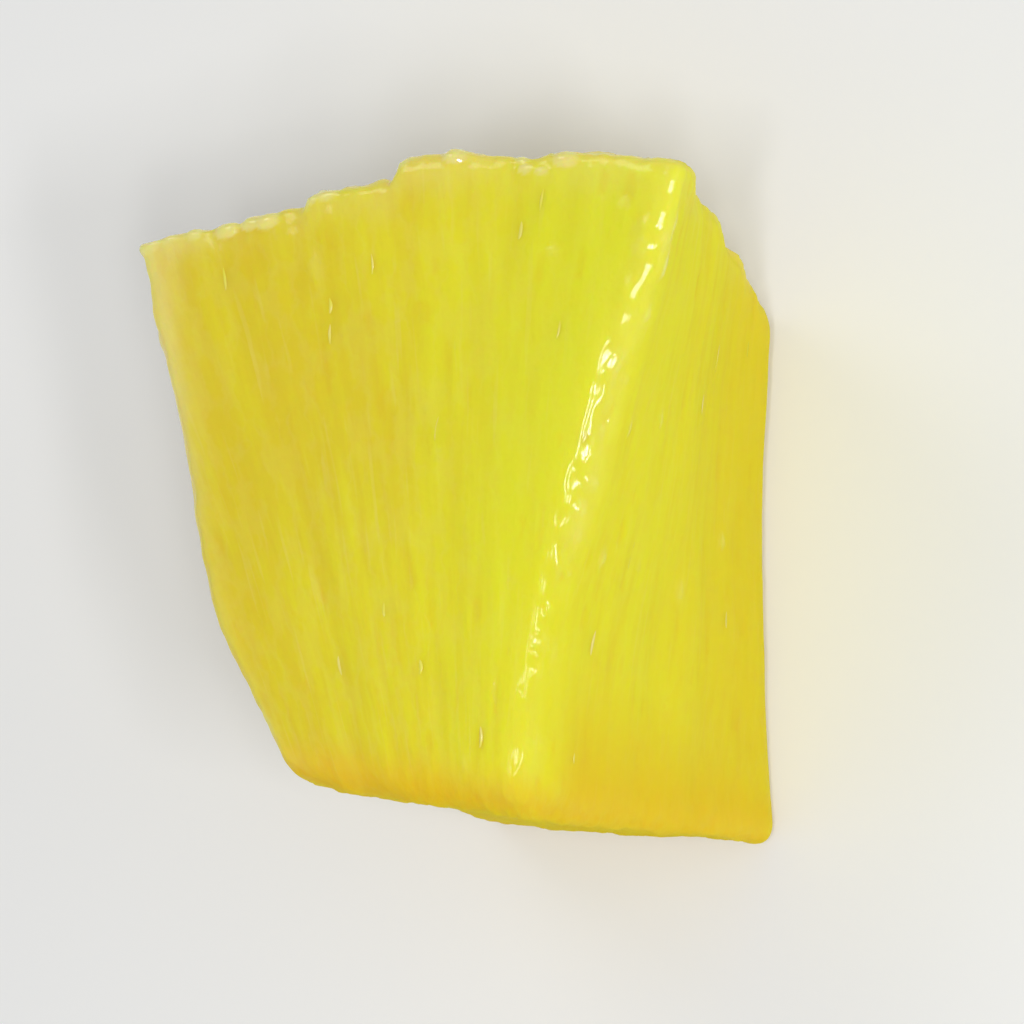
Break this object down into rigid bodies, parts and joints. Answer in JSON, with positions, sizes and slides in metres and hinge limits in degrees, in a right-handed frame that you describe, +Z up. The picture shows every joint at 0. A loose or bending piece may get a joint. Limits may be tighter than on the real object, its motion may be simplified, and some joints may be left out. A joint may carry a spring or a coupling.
{
  "type": "pineapple chunk",
  "caption": "Wedge of fresh pineapple flesh cut from a cored ring slice, lying on one flat slice cut, with a peeled rind side and a narrow core end.",
  "frame": {"origin": "bottom centre of the chunk's box, on the flat lower slice cut", "axes": "+Z up through the two slice cuts, +Y outward from the fruit's core to its rind side, +X to the right of that"},
  "size_m": [0.0274, 0.032, 0.0225],
  "materials": {
    "flesh": "wet, slightly translucent yellow fruit flesh with fibres that run out from the core"
  },
  "bodies": {
    "root": {"pineapple_chunk": "flesh"}
  },
  "joints": []
}
